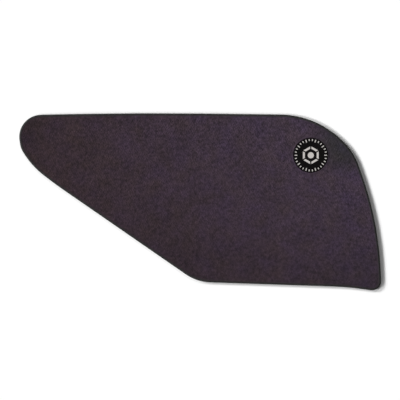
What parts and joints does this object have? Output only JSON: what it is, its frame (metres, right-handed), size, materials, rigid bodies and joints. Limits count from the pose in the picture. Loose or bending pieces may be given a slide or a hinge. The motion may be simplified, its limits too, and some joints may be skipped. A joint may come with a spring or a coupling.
{
  "type": "tank grip",
  "caption": "Flat moulded rubber grip pad for one side of a motorcycle fuel tank, with a rounded rim, a pebbled face and a round printed metal badge near its tail.",
  "frame": {"origin": "centre of the bounding box, on the flat adhesive back", "axes": "+X from the narrow nose to the broad tail, along the length; +Y towards the long straight top edge; +Z out of the gripping face, through the thickness"},
  "size_m": [0.21, 0.1028, 0.002],
  "materials": {
    "pad_rubber": "matt, finely pebbled face with a smoother rounded rim",
    "badge_metal": "satin",
    "badge_ink": "semi-gloss screen print"
  },
  "bodies": {
    "root": {"pad": "pad_rubber", "badge_plate": "badge_metal", "badge_print": "badge_ink"}
  },
  "joints": []
}
